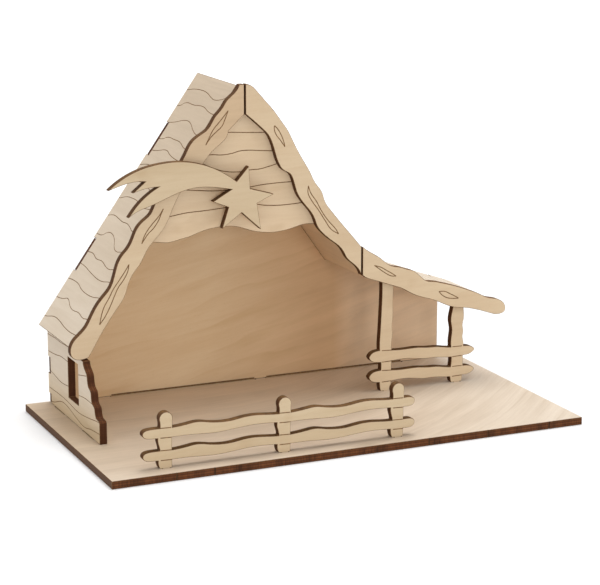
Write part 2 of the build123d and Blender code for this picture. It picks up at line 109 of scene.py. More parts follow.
# Engraved boards of the side wall: millimetres forward from its back edge, and up from the base.
WALL_BOARDS: list[Line] = [
    [(-1.0, 38.0), (5.0, 38.1), (13.9, 38.6), (22.6, 38.5), (36.3, 39.1), (48.0, 38.4), (56.0, 38.6)],
    [(-1.0, 28.4), (5.2, 28.8), (14.3, 29.6), (23.3, 30.8), (35.5, 30.8)],
    [(-1.0, 18.6), (5.0, 18.2), (12.1, 17.5), (22.0, 16.6), (35.5, 17.6)],
    [(-1.0, 8.3), (4.5, 8.5), (17.0, 8.9), (30.1, 8.9), (51.6, 7.8), (66.3, 9.1), (80.6, 11.1), (86.0, 11.6)],
    [(-1.0, 0.9), (7.3, 1.7), (23.3, 6.0), (34.3, 5.8), (47.0, 3.8), (59.6, 2.5), (72.0, 4.3), (86.0, 5.6)],
    [(51.5, 28.0), (53.3, 28.4), (65.8, 30.9)],
    [(51.5, 17.2), (52.4, 17.3), (62.9, 18.4), (74.0, 18.4)],
    [(-1.0, 0.15), (86.0, 0.15)],
]

# Engraved knots of the barge boards: millimetres down the board from its upper joint, and out from the line
# of its pitch through that joint. Each is the outline of a thin leaf, from its upper tip.
LEFT_KNOTS: list[Line] = [
    [(16.0, 0.1), (20.0, 0.4), (24.1, 0.9), (28.3, 1.4), (32.6, 1.0), (37.1, 0.4), (31.9, 0.2), (28.3, -0.7),
     (24.5, -1.6), (21.0, -1.1)],
    [(76.1, 1.5), (80.2, 1.4), (85.3, 2.1), (89.4, 2.5), (93.8, 2.2), (97.1, 1.3), (91.0, 1.2), (87.4, 0.4),
     (82.7, 0.3), (79.3, 0.9)],
    [(109.4, 1.2), (113.7, 1.0), (119.2, 1.1), (124.7, 1.2), (129.6, 0.6), (134.4, 0.3), (138.5, -0.8),
     (143.4, -2.8), (138.5, -3.0), (132.8, -2.4), (126.9, -1.3), (122.5, -0.6), (117.4, -0.8), (112.9, -0.3)],
]
RIGHT_KNOTS: list[Line] = [
    [(27.7, 0.4), (29.5, -0.9), (32.6, -1.6), (35.9, -1.4), (40.4, -1.4), (38.5, -0.6), (34.3, 0.5),
     (29.9, 0.8)],
    [(65.8, -3.0), (68.7, -5.3), (73.9, -6.1), (79.9, -6.0), (87.5, -6.3), (93.3, -6.3), (98.2, -4.4),
     (94.9, -4.2), (88.5, -4.9), (81.6, -4.9), (75.5, -4.2), (69.5, -4.1)],
]
LEANTO_KNOTS: list[Line] = [
    [(11.0, -7.1), (14.9, -6.8), (19.3, -7.4), (22.9, -7.9), (25.8, -8.5), (22.8, -9.3), (18.4, -8.8),
     (14.8, -8.0)],
    [(54.4, -8.4), (57.7, -7.3), (61.4, -7.5), (65.0, -7.8), (67.5, -8.2), (64.2, -9.4), (60.4, -10.1),
     (56.6, -9.5)],
]


def srgb(red: int, green: int, blue: int) -> Colour:
    """Turns a display colour into the linear one that a shader takes.

    Args:
        red: Red from 0 to 255.
        green: Green from 0 to 255.
        blue: Blue from 0 to 255.

    Returns:
        The linear colour.
    """
    def linear(level: int) -> float:
        """Turns one display level into a linear one."""
        share = level / 255
        return share / 12.92 if share <= 0.04045 else ((share + 0.055) / 1.055) ** 2.4

    return linear(red), linear(green), linear(blue)


def select_only(*objects: bpy.types.Object) -> None:
    """Selects these objects alone and makes the first one active.

    Args:
        objects: What the next operator acts on.
    """
    bpy.ops.object.select_all(action="DESELECT")
    for item in objects:
        item.select_set(True)
    bpy.context.view_layer.objects.active = objects[0]


def apply_modifier(piece: bpy.types.Object, modifier: bpy.types.Modifier) -> None:
    """Applies one modifier to a piece.

    Args:
        piece: The piece that carries the modifier.
        modifier: The modifier to apply.
    """
    select_only(piece)
    bpy.ops.object.modifier_apply(modifier=modifier.name)


def in_metres(lines: list[Line]) -> list[Line]:
    """Turns lines in millimetres into metres."""
    return [[(x * MM, y * MM) for x, y in line] for line in lines]


class Wiring:
    """Adds and joins the nodes of one tree."""

    def __init__(self, tree: bpy.types.NodeTree) -> None:
        """Takes the tree over.

        Args:
            tree: The tree that the nodes go into.
        """
        self.tree = tree

    def add(self, kind: str, **settings: object) -> bpy.types.Node:
        """Adds a node.

        Args:
            kind: The node's type name.
            settings: Values for the node's own properties.

        Returns:
            The new node.
        """
        node = self.tree.nodes.new(kind)
        for key, value in settings.items():
            setattr(node, key, value)
        return node

    def link(self, source: Socket, target: Socket) -> None:
        """Joins two sockets."""
        self.tree.links.new(source, target)

    def combine(self, operation: str, first: Socket, second: Socket | float) -> Socket:
        """Works out one step of arithmetic.

        Args:
            operation: The name of the step.
            first: Its first value.
            second: Its second value, a socket or a number.

        Returns:
            The result.
        """
        node = self.add("ShaderNodeMath", operation=operation)
        self.link(first, node.inputs[0])
        if isinstance(second, Socket):
            self.link(second, node.inputs[1])
        else:
            node.inputs[1].default_value = second
        return node.outputs[0]

    def sum_of(self, first: Socket, second: Socket, weight: float) -> Socket:
        """Adds a weighted value to another.

        Args:
            first: The value that is added to.
            second: The value that is weighted.
            weight: What the second value is multiplied by.

        Returns:
            The sum.
        """
        node = self.add("ShaderNodeMath", operation="MULTIPLY_ADD")
        self.link(second, node.inputs[0])
        node.inputs[1].default_value = weight
        self.link(first, node.inputs[2])
        return node.outputs[0]

    def spread(self, value: Socket, low: float, high: float, to_low: float = 0.0,
               to_high: float = 1.0) -> Socket:
        """Stretches a range of values over another one.

        Args:
            value: The value to stretch.
            low: Where the range starts.
            high: Where the range ends.
            to_low: What the start becomes.
            to_high: What the end becomes.

        Returns:
            The stretched value, held between its ends.
        """
        node = self.add("ShaderNodeMapRange", clamp=True)
        numbers = {"From Min": low, "From Max": high, "To Min": to_low, "To Max": to_high}
        for name, number in numbers.items():
            node.inputs[name].default_value = number
        self.link(value, node.inputs["Value"])
        return node.outputs["Result"]

    def seen(self) -> Socket:
        """Tells whether a surface is looked at, straight on, mirrored or through something clear.

        Returns:
            One where it is, and nought where it only lights other things.
        """
        path = self.add("ShaderNodeLightPath")
        mirrored = self.combine("MAXIMUM", path.outputs["Is Glossy Ray"], path.outputs["Is Transmission Ray"])
        return self.combine("MAXIMUM", path.outputs["Is Camera Ray"], mirrored)


class Recipe(Wiring):
    """Wires the nodes of one procedural material."""

    def __init__(self, name: str) -> None:
        """Starts a material with its output and shader alone.

        Args:
            name: The material's name.
        """
        self.material = bpy.data.materials.new(name)
        self.material.use_nodes = True
        super().__init__(self.material.node_tree)
        self.tree.nodes.clear()
        output = self.add("ShaderNodeOutputMaterial")
        self.shader = self.add("ShaderNodeBsdfPrincipled")
        self.link(self.shader.outputs["BSDF"], output.inputs["Surface"])

    def sheet(self) -> Socket:
        """Reads the place on the cut sheet: centimetres on its face, and the share of its thickness."""
        return self.add("ShaderNodeAttribute", attribute_name="sheet").outputs["Vector"]

    def scaled(self, place: Socket, scale: tuple[float, float, float]) -> Socket:
        """Stretches a place, so that a pattern on it shrinks.

        Args:
            place: The place.
            scale: How often the pattern repeats, per centimetre along and across, and per thickness.

        Returns:
            The stretched place.
        """
        mapping = self.add("ShaderNodeMapping")
        mapping.inputs["Scale"].default_value = scale
        self.link(place, mapping.inputs["Vector"])
        return mapping.outputs["Vector"]

    def noise(self, place: Socket, detail: float, distortion: float = 0.0) -> Socket:
        """Adds soft noise.

        Args:
            place: The place that it follows.
            detail: How many finer layers it has.
            distortion: How far it is bent.

        Returns:
            The noise, from 0 to 1.
        """
        node = self.add("ShaderNodeTexNoise")
        node.inputs["Scale"].default_value = 1.0
        node.inputs["Detail"].default_value = detail
        node.inputs["Distortion"].default_value = distortion
        self.link(place, node.inputs["Vector"])
        return node.outputs["Fac"]

    def blend(self, share: Socket, first: Socket | Colour, second: Socket | Colour) -> Socket:
        """Mixes two colours.

        Args:
            share: How much of the second colour shows.
            first: A colour or a socket.
            second: A colour or a socket.

        Returns:
            The mixed colour.
        """
        node = self.add("ShaderNodeMix", data_type="RGBA")
        self.link(share, node.inputs["Factor"])
        for socket, colour in ((node.inputs[MIX_FIRST], first), (node.inputs[MIX_SECOND], second)):
            if isinstance(colour, tuple):
                socket.default_value = (*colour, 1)
            else:
                self.link(colour, socket)
        return node.outputs[MIX_RESULT]

    def polish(self, roughness: Socket | float, gloss: float) -> None:
        """Sets how the surface shines.

        Args:
            roughness: How rough it is, a socket or a number.
            gloss: How strongly it mirrors.
        """
        if isinstance(roughness, Socket):
            self.link(roughness, self.shader.inputs["Roughness"])
        else:
            self.shader.inputs["Roughness"].default_value = roughness
        self.shader.inputs["Specular IOR Level"].default_value = gloss

    def emboss(self, height: Socket, strength: float, depth: float) -> None:
        """Gives the shader a fine relief.

        Args:
            height: The relief's height, from 0 to 1.
            strength: How strongly it shows.
            depth: How deep it is, in metres.
        """
        node = self.add("ShaderNodeBump")
        node.inputs["Strength"].default_value = strength
        node.inputs["Distance"].default_value = depth
        self.link(height, node.inputs["Height"])
        self.link(node.outputs["Normal"], self.shader.inputs["Normal"])


@dataclass(frozen=True)
class Pattern:
    """Soft noise in the wood: how often it repeats, how many finer layers it has and how far it is bent."""

    scale: tuple[float, float, float]
    detail: float
    distortion: float = 0.0

    def lay(self, recipe: Recipe, place: Socket) -> Socket:
        """Lays the noise on a material.

        Args:
            recipe: The material.
            place: The place that the noise follows.

        Returns:
            The noise, from 0 to 1.
        """
        return recipe.noise(recipe.scaled(place, self.scale), self.detail, self.distortion)


# The wood's patterns. Their scales are per centimetre along the grain and across it, and per thickness.
# The first wobbles the edges of the zones of other tone, painted shade and painted light.
TONE_AND_LIGHT_DRIFT = Pattern((0.2, 0.5, 0.0), 2.0)
RING_DRIFT = Pattern((0.09, 0.24, 0.0), 3.0)
RING_STRENGTH = Pattern((0.2, 0.6, 0.0), 1.0)
FIGURE = Pattern((0.10, 0.42, 0.0), 3.0, 0.9)
STREAKS = Pattern((0.25, 4.5, 0.0), 2.0, 0.6)
FIBRE = Pattern((2.2, 55.0, 0.0), 3.0)
FLECKS = Pattern((5.0, 42.0, 0.0), 1.0)
BLUSHES = Pattern((0.45, 0.7, 0.0), 1.5, 0.4)
CHAR_STREAKS = Pattern((24.0, 24.0, 0.7), 2.0)
CHAR_CLOUDS = Pattern((1.3, 1.3, 0.3), 3.0)
SCORCH_CLOUDS = Pattern((9.0, 9.0, 1.0), 3.0)

# The part of the fibre's noise that shows.
FIBRE_RANGE = (0.30, 0.70)

# Where in a growth year the line starts to darken, and where it is darkest.
RING_START = 0.45
RING_PEAK = 0.93


@dataclass(frozen=True)
class Grain:
    """How the grain lies on a sheet: turned by an angle, and bent upwards beyond a place."""

    turn: float = 0.0
    bend: float = 0.0
    bend_start: float = 0.0
    reach: float = 40.0

    def lay(self, recipe: Recipe) -> Socket:
        """Gives the place on the sheet, along the grain and across it.

        Args:
            recipe: The material that the grain is for.

        Returns:
            The place.
        """
        parts = recipe.add("ShaderNodeSeparateXYZ")
        recipe.link(recipe.sheet(), parts.inputs["Vector"])
        end = self.bend_start + self.reach
        beyond = recipe.spread(parts.outputs["X"], self.bend_start, end, 0.0, self.reach)
        bowed = recipe.sum_of(parts.outputs["Y"], recipe.combine("POWER", beyond, 2.0), -self.bend)
        place = recipe.add("ShaderNodeCombineXYZ")
        recipe.link(parts.outputs["X"], place.inputs["X"])
        recipe.link(bowed, place.inputs["Y"])
        recipe.link(parts.outputs["Z"], place.inputs["Z"])
        turned = recipe.add("ShaderNodeMapping")
        turned.inputs["Rotation"].default_value = (0, 0, -math.radians(self.turn))
        recipe.link(place.outputs["Vector"], turned.inputs["Vector"])
        return turned.outputs["Vector"]


class Face(Enum):
    """The faces of a sheet, each as the range of its thickness over which a colour comes in."""

    SHOW = (0.6, 0.4)
    BACK = (0.4, 0.6)
    BOTH = (-2.0, -1.0)


@dataclass(frozen=True)
class ToneAndPaintedLight:
    """Another colour over a zone of a sheet, given by centimetres on the sheet: a change of tone in some
    zones, painted shade and painted light in others.
    """

    colour: Colour
    across: Point
    along: Point
    share: float
    face: Face = Face.BOTH
    figure: float = 0.14
    drift: float = 2.0

    def lay(self, recipe: Recipe, colour: Socket, tone: Socket) -> Socket:
        """Lays the other colour over the veneer's.

        Args:
            recipe: The material.
            colour: The veneer's colour.
            tone: How dark the veneer's figure is, from 0 to 1.

        Returns:
            The colour with its changed side.
        """
        parts = recipe.add("ShaderNodeSeparateXYZ")
        recipe.link(recipe.sheet(), parts.inputs["Vector"])
        across = recipe.sum_of(parts.outputs["Y"], TONE_AND_LIGHT_DRIFT.lay(recipe, recipe.sheet()), self.drift)
        start, end = (place + self.drift / 2 for place in self.across)
        depth = recipe.combine("MULTIPLY", recipe.spread(across, start, end),
                               recipe.spread(parts.outputs["X"], *self.along, 0.0, self.share))
        depth = recipe.combine("MULTIPLY", depth, recipe.spread(parts.outputs["Z"], *self.face.value))
        light = tuple(level * (1 + self.figure) for level in self.colour)
        dark = tuple(level * (1 - self.figure) for level in self.colour)
        return recipe.blend(depth, colour, recipe.blend(tone, light, dark))


@dataclass(frozen=True)
class PlyFace:
    """The sanded face veneer of one lot of plywood."""

    name: str
    pale: Colour
    warm: Colour
    fleck: Colour
    grain: Grain
    tones_and_painted_light: tuple[ToneAndPaintedLight, ...] = ()
    ring_step: float = 1.3
    ring_share: float = 0.4
    ring_drift: float = 2.2
    streak_share: float = 0.30
    fibre_share: float = 0.25
    fleck_share: float = 0.4
    blush: float = 0.0

    def rings(self, recipe: Recipe, place: Socket) -> Socket:
        """Draws growth lines: each darkens slowly and ends in a fine edge.

        Args:
            recipe: The material.
            place: The place along and across the grain.

        Returns:
            How dark the line is, from 0 to 1.
        """
        across = recipe.add("ShaderNodeSeparateXYZ")
        recipe.link(place, across.inputs["Vector"])
        level = recipe.combine("MULTIPLY", across.outputs["Y"], 1 / self.ring_step)
        level = recipe.sum_of(level, RING_DRIFT.lay(recipe, place), self.ring_drift)
        year = recipe.combine("FRACT", level, 0.0)
        rise = recipe.spread(year, RING_START, RING_PEAK)
        line = recipe.sum_of(rise, recipe.spread(year, RING_PEAK, 1.0), -1.0)
        strength = recipe.spread(RING_STRENGTH.lay(recipe, place), 0.35, 0.65)
        return recipe.combine("MULTIPLY", line, strength)

    def make(self) -> bpy.types.Material:
        """Makes the veneer: broad soft figure, growth lines, fine fibre, zones of other tone and of painted
        shade and painted light, warm patches and short flecks.

        Returns:
            The material.
        """
        recipe = Recipe(self.name)
        place = self.grain.lay(recipe)
        fibre = FIBRE.lay(recipe, place)
        tone = recipe.spread(FIGURE.lay(recipe, place), 0.34, 0.68, 0.0, 0.6)
        tone = recipe.sum_of(tone, self.rings(recipe, place), self.ring_share)
        streaks = recipe.spread(STREAKS.lay(recipe, place), 0.35, 0.66, -0.5, 0.5)
        tone = recipe.sum_of(tone, streaks, self.streak_share)
        tone = recipe.sum_of(tone, recipe.spread(fibre, *FIBRE_RANGE, -0.5, 0.5), self.fibre_share)
        tone = recipe.spread(tone, -0.25, 1.15)
        colour = recipe.blend(tone, self.pale, self.warm)
        # Lays the zones of other tone, painted shade and painted light.
        for overlay in self.tones_and_painted_light:
            colour = overlay.lay(recipe, colour, tone)
        blushes = recipe.spread(BLUSHES.lay(recipe, place), 0.58, 0.74, 0.0, self.blush)
        colour = recipe.blend(blushes, colour, self.fleck)
        flecks = recipe.spread(FLECKS.lay(recipe, place), 0.66, 0.80, 0.0, self.fleck_share)
        colour = recipe.blend(flecks, colour, self.fleck)
        recipe.link(colour, recipe.shader.inputs["Base Color"])
        recipe.polish(recipe.spread(fibre, *FIBRE_RANGE, 0.52, 0.66), gloss=0.25)
        recipe.emboss(fibre, strength=0.12, depth=0.06 * MM)
        return recipe.material


@dataclass(frozen=True)
class BurntEdge:
    """The cut edge of the sheet: three charred plies with streaks, in another tone at the grain's ends, which
    is partly their own and partly painted shade.
    """

    name: str
    char: Colour
    ply: Colour
    core: Colour
    end: Colour
    streak_share: float = 0.55
    cloud_share: float = 0.45
    end_and_shade_share: float = 0.8

    def make(self) -> bpy.types.Material:
        """Makes the charred edge.

        Returns:
            The material.
        """
        recipe = Recipe(self.name)
        place = recipe.add("ShaderNodeSeparateXYZ")
        recipe.link(recipe.sheet(), place.inputs["Vector"])
        layers = recipe.add("ShaderNodeValToRGB")
        layers.color_ramp.interpolation = "EASE"
        stops = [(0.00, self.char), (0.14, self.ply), (0.29, self.ply), (0.34, self.char), (0.40, self.core),
                 (0.60, self.core), (0.66, self.char), (0.71, self.ply), (0.86, self.ply), (1.00, self.char)]
        ramp = layers.color_ramp.elements
        while len(ramp) < len(stops):
            ramp.new(1.0)
        for element, (share, colour) in zip(ramp, stops):
            element.position = share
            element.color = (*colour, 1)
        recipe.link(place.outputs["Z"], layers.inputs["Fac"])
        streaks = CHAR_STREAKS.lay(recipe, recipe.sheet())
        clouds = recipe.spread(CHAR_CLOUDS.lay(recipe, recipe.sheet()), 0.40, 0.65)
        dark = recipe.spread(streaks, 0.35, 0.70, 0.0, self.streak_share)
        dark = recipe.sum_of(dark, clouds, self.cloud_share)
        colour = recipe.blend(dark, layers.outputs["Color"], self.char)
        # The grain's ends take the end colour: partly the end grain's own tone, partly painted shade on these
        # edges.
        ends = recipe.add("ShaderNodeAttribute", attribute_name="end_grain_and_shade").outputs["Fac"]
        colour = recipe.blend(recipe.spread(ends, 0.45, 1.0, 0.0, self.end_and_shade_share), colour, self.end)
        recipe.link(colour, recipe.shader.inputs["Base Color"])
        recipe.polish(roughness=0.78, gloss=0.2)
        recipe.emboss(streaks, strength=0.35, depth=0.08 * MM)
        return recipe.material


@dataclass(frozen=True)
class Scorch:
    """Wood browned by the beam: an engraved groove, or the rim of a cut."""

    name: str
    light: Colour
    dark: Colour

    def make(self) -> bpy.types.Material:
        """Makes the browned wood.

        Returns:
            The material.
        """
        recipe = Recipe(self.name)
        clouds = SCORCH_CLOUDS.lay(recipe, recipe.sheet())
        colour = recipe.blend(recipe.spread(clouds, 0.35, 0.65), self.light, self.dark)
        recipe.link(colour, recipe.shader.inputs["Base Color"])
        recipe.polish(roughness=0.8, gloss=0.2)
        recipe.emboss(clouds, strength=0.2, depth=0.05 * MM)
        return recipe.material


# The range across a sheet for a colour that takes in all of its breadth.
ALL_ACROSS: Point = (-20.0, -10.0)

# The char, the outer plies and the core on the cut edges of the base, the back, the wall and the roofs.
SHEET_PLIES: tuple[Colour, Colour, Colour] = (srgb(47, 24, 8), srgb(108, 62, 30), srgb(118, 69, 36))


class Lot(Enum):
    """The lots of plywood that the pieces are cut from."""

    # The roof sheets are darker towards the ridge, as painted shade. The side wall grows warmer and darker
    # towards its foot, and the undersides of the right and lean-to roofs are warmer.
    ROOF = PlyFace("ply_roof", srgb(220, 205, 185), srgb(204, 186, 163), srgb(176, 150, 118), Grain(),
                   (ToneAndPaintedLight(srgb(196, 175, 149), (54.0, 66.0), (6.0, 12.0), 0.7),
                    ToneAndPaintedLight(srgb(198, 174, 134), (35.2, 33.2), (30.0, 20.0), 0.7),
                    ToneAndPaintedLight(srgb(216, 186, 151), ALL_ACROSS, (36.0, 40.0), 0.8, Face.BACK)),
                   ring_share=0.25)
    TRIM = PlyFace("ply_trim", srgb(217, 195, 163), srgb(203, 177, 144), srgb(180, 147, 108), Grain(turn=3.0),
                   (ToneAndPaintedLight(srgb(192, 163, 130), (36.0, 39.0), (60.0, 66.0), 0.7),), ring_share=0.3,
                   blush=0.3)
    YARD = PlyFace("ply_yard", srgb(209, 188, 156), srgb(195, 171, 137), srgb(174, 142, 104), Grain(turn=3.0),
                   ring_share=0.3, blush=0.25)
    GABLE = PlyFace("ply_gable", srgb(226, 202, 170), srgb(212, 185, 150), srgb(186, 152, 112), Grain(),
                    ring_share=0.3, blush=0.25)
    # The base is painted darker from its front edge back towards the stable, as painted shade under the roof,
    # and darker in the strip left of the wall, as the wall's painted shadow; further in, a lighter colour
    # eases that painted shade.
    BASE = PlyFace("ply_base", srgb(231, 217, 199), srgb(200, 181, 158), srgb(180, 156, 128),
                   Grain(bend=0.03, bend_start=8.0),
                   (ToneAndPaintedLight(srgb(197, 176, 152), (-4.0, 3.0), (24.0, 15.5), 0.7),
                    ToneAndPaintedLight(srgb(224, 199, 170), (6.5, 8.5), (21.0, 15.0), 0.5),
                    ToneAndPaintedLight(srgb(188, 167, 141), (2.5, 5.0), (2.4, 1.4), 0.5)), ring_step=1.9)
    # The back panel's front is painted darker from its middle towards the lean-to's left post, as painted
    # shade under the right roof and the post's painted shadow, and lighter beyond the post, as painted light
    # coming in through the lean-to's open side.
    PANEL = PlyFace("ply_panel", srgb(229, 202, 165), srgb(212, 177, 134), srgb(186, 150, 110),
                    Grain(turn=10.0, bend=0.002, bend_start=31.0),
                    (ToneAndPaintedLight(srgb(196, 158, 118), ALL_ACROSS, (40.0, 46.5), 0.8, Face.SHOW),
                     ToneAndPaintedLight(srgb(226, 199, 168), ALL_ACROSS, (47.6, 49.2), 0.8, Face.SHOW)),
                    ring_share=0.5, ring_drift=3.0, streak_share=0.22)


class Burn(Enum):
    """What the beam leaves behind."""

    # Each edge's last colour is the tone at the grain's ends, partly its own and partly painted shade.
    SHEET_EDGE = BurntEdge("burnt_sheet_edge", *SHEET_PLIES, srgb(64, 32, 10))
    BASE_EDGE = BurntEdge("burnt_base_edge", *SHEET_PLIES, srgb(92, 68, 51))
    TRIM_EDGE = BurntEdge("burnt_trim_edge", srgb(68, 45, 24), srgb(122, 88, 50), srgb(128, 93, 54),
                          srgb(66, 32, 6))
    RIM = Scorch("scorched_rim", srgb(126, 92, 60), srgb(80, 53, 32))
    LINE = Scorch("engraved_line", srgb(150, 116, 78), srgb(110, 80, 52))
    DEEP = Scorch("burnt_seam", srgb(92, 63, 38), srgb(60, 38, 22))


class Skin(IntEnum):
    """A piece's surfaces, by the places of their materials."""

    FACE = 0
    EDGE = 1
    RIM = 2


class Finishes:
    """Makes each material once and hands it out."""

    made: ClassVar[dict[str, bpy.types.Material]] = {}

    @classmethod
    def get(cls, choice: Lot | Burn) -> bpy.types.Material:
        """Gives the material of a lot or a burn.

        Args:
            choice: The lot or burn.

        Returns:
            Its material.
        """
        if choice.value.name not in cls.made:
            cls.made[choice.value.name] = choice.value.make()
        return cls.made[choice.value.name]


@dataclass(frozen=True)
class Plane:
    """The show face of a cut sheet: where it starts, and its two directions."""

    origin: Vector
    along: Vector
    up: Vector

    @property
    def normal(self) -> Vector:
        """The way the show face looks."""
        return self.along.cross(self.up)

    @property
    def matrix(self) -> Matrix:
        """Turns places on the face, and heights over it, into places in the frame."""
        turned = Matrix((self.along, self.up, self.normal)).transposed().to_4x4()
        return Matrix.Translation(self.origin) @ turned


@dataclass
class Engraver:
    """Cuts fine grooves along lines on a face."""

    width: float
    burn: Burn = Burn.LINE
    smoothness: int = 6

    def draw(self, path: bpy.types.Curve, line: Line) -> None:
        """Draws one smooth line.

        Args:
            path: The curve that takes the line.
            line: Its points, in metres on the face.
        """
        spline = path.splines.new("BEZIER")
        spline.bezier_points.add(len(line) - 1)
        spline.resolution_u = self.smoothness
        for point, place in zip(spline.bezier_points, line):
            point.co = (*place, 0)
            point.handle_left_type = "AUTO"
            point.handle_right_type = "AUTO"

    def cutter(self, plane: Plane, lines: list[Line]) -> bpy.types.Object:
        """Makes a solid that follows every line.

        Args:
            plane: The face that the lines lie on.
            lines: The lines, which mustn't cross.

        Returns:
            The solid.
        """
        bpy.ops.object.select_all(action="DESELECT")
        bpy.ops.curve.primitive_bezier_curve_add()
        cutter = bpy.context.object
        path = cutter.data
        path.splines.clear()
        path.dimensions = "3D"
        path.twist_mode = "Z_UP"
        path.bevel_depth = self.width / 2
        path.bevel_resolution = 0
        path.use_fill_caps = True
        for line in lines:
            self.draw(path, line)
        cutter.matrix_world = plane.matrix
        select_only(cutter)
        bpy.ops.object.convert(target="MESH")
        bpy.ops.object.transform_apply(location=True, rotation=True, scale=True)
        cutter.data.materials.clear()
        cutter.data.materials.append(Finishes.get(self.burn))
        return cutter

    def cut(self, piece: bpy.types.Object, plane: Plane, lines: list[Line]) -> None:
        """Cuts the grooves into a piece.

        Args:
            piece: The piece to cut.
            plane: The face that the lines lie on.
            lines: The lines, which mustn't cross.
        """
        cutter = self.cutter(plane, lines)
        groove = piece.modifiers.new("groove", "BOOLEAN")
        groove.operation = "DIFFERENCE"
        groove.solver = "EXACT"
        groove.material_mode = "TRANSFER"
        groove.object = cutter
        apply_modifier(piece, groove)
        select_only(cutter)
        bpy.ops.object.delete()


@dataclass
class CutPiece:
    """One piece cut from the sheet, with its engraving, its burnt edges and its veneer."""

    node: str
    name: str
    lot: Lot
    slot: str
    sheet_offset: Point
    rim: float = 0.25 * MM
    rim_angle: float = math.radians(50)
    groove: float = 0.5 * MM
    groove_burn: Burn = Burn.LINE
    edge_burn: Burn = Burn.TRIM_EDGE
    weld_distance: float = 0.001 * MM
    flat_angle: float = math.radians(0.3)
    crease_angle: float = math.radians(32)

    def plane(self) -> Plane:
        """The show face of an upright piece that looks to the front.

        Returns:
            The plane, from the lowest corner of the piece's front.
        """
        low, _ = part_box(self.node)
        return Plane(low, X_AXIS, Z_AXIS)

    def engraving(self) -> list[list[Line]]:
        """The lines on the show face, in metres from the plane's origin, in passes that don't cross."""
        return []

    def make(self) -> bpy.types.Object:
        """Makes the piece and lets it stand for its node.

        Returns:
            The finished piece.
        """
        piece = self.blank()
        self.paint(piece)
        self.ease(piece)
        self.engrave(piece)
        self.mark(piece)
        self.smooth(piece)
        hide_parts(self.node)
        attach(piece, BODY)
        log.info("%s: %d faces", piece.name, len(piece.data.polygons))
        return piece

    def blank(self) -> bpy.types.Object:
        """Cuts the node's shape afresh: its show face in one, given the sheet's thickness.

        Returns:
            The blank.
        """
        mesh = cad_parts[self.node].data.copy()
        mesh.name = self.name
        mesh.materials.clear()
        piece = bpy.data.objects.new(self.name, mesh)
        bpy.context.scene.collection.objects.link(piece)
        select_only(piece)
        bpy.ops.object.mode_set(mode="EDIT")
        bpy.ops.mesh.select_mode(type="FACE")
        bpy.ops.mesh.select_all(action="SELECT")
        bpy.ops.mesh.remove_doubles(threshold=self.weld_distance)
        bpy.ops.object.mode_set(mode="OBJECT")
        normal = self.plane().normal
        for face in mesh.polygons:
            face.select = face.normal.dot(normal) < FACING
        bpy.ops.object.mode_set(mode="EDIT")
        bpy.ops.mesh.delete(type="FACE")
        bpy.ops.mesh.select_all(action="SELECT")
        bpy.ops.mesh.dissolve_limited(angle_limit=self.flat_angle)
        bpy.ops.object.mode_set(mode="OBJECT")
        sheet = piece.modifiers.new("sheet", "SOLIDIFY")
        sheet.thickness = SHEET
        sheet.offset = -1.0
        apply_modifier(piece, sheet)
        return piece

    def paint(self, piece: bpy.types.Object) -> None:
        """Gives the faces their veneer and the cut edges their burn.

        Args:
            piece: The blank.
        """
        for choice in (self.lot, self.edge_burn, Burn.RIM, self.groove_burn):
            piece.data.materials.append(Finishes.get(choice))
        normal = self.plane().normal
        for face in piece.data.polygons:
            face.material_index = Skin.FACE if abs(face.normal.dot(normal)) > FACING else Skin.EDGE

    def ease(self, piece: bpy.types.Object) -> None:
        """Eases the cut's sharp rims.

        Args:
            piece: The painted blank.
        """
        rim = piece.modifiers.new("rim", "BEVEL")
        rim.width = self.rim
        rim.segments = 1
        rim.limit_method = "ANGLE"
        rim.angle_limit = self.rim_angle
        rim.use_clamp_overlap = False
        rim.material = Skin.RIM
        apply_modifier(piece, rim)

    def engrave(self, piece: bpy.types.Object) -> None:
        """Cuts the lines into the show face as fine grooves.

        Args:
            piece: The eased piece.
        """
        engraver = Engraver(self.groove, self.groove_burn)
        for lines in self.engraving():
            engraver.cut(piece, self.plane(), lines)

    def mark(self, piece: bpy.types.Object) -> None:
        """Writes each point's place on the sheet, and how far each face cuts the grain's ends, which sets the
        edges' end tone and painted shade.

        Args:
            piece: The engraved piece.
        """
        grain = self.plane().along
        ends = piece.data.attributes.new("end_grain_and_shade", "FLOAT", "FACE")
        for face, share in zip(piece.data.polygons, ends.data):
            share.value = abs(face.normal.dot(grain))
        to_sheet = self.plane().matrix.inverted()
        marks = piece.data.attributes.new("sheet", "FLOAT_VECTOR", "POINT")
        for vertex, place in zip(piece.data.vertices, marks.data):
            local = to_sheet @ vertex.co
            along = local.x / CM + self.sheet_offset[0]
            across = local.y / CM + self.sheet_offset[1]
            place.vector = (along, across, -local.z / SHEET)

    def smooth(self, piece: bpy.types.Object) -> None:
        """Smooths the curved edges and keeps the sheet's faces flat.

        Args:
            piece: The marked piece.
        """
        select_only(piece)
        bpy.ops.object.shade_smooth_by_angle(angle=self.crease_angle)
        for face in piece.data.polygons:
            face.use_smooth = face.material_index == Skin.EDGE


@dataclass
class BasePlate(CutPiece):
    """The base, with the small nicks that the cut left in its front edge."""

    nicks: tuple[float, ...] = (33.0, 52.8, 169.8, 203.8, 240.0)
    nick_width: float = 0.9 * MM
    groove_burn: Burn = Burn.DEEP
    edge_burn: Burn = Burn.BASE_EDGE

    def plane(self) -> Plane:
        """The base's upper face."""
        low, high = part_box(self.node)
        return Plane(Vector((low.x, low.y, high.z)), X_AXIS, Y_AXIS)

    def engrave(self, piece: bpy.types.Object) -> None:
        """Nicks the front edge.

        Args:
            piece: The eased base.
        """
        low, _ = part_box(self.node)
        edge = Plane(low, X_AXIS, Z_AXIS)
        lines: list[Line] = [[(place * MM, -SHEET), (place * MM, 2 * SHEET)] for place in self.nicks]
        Engraver(self.nick_width, self.groove_burn).cut(piece, edge, lines)


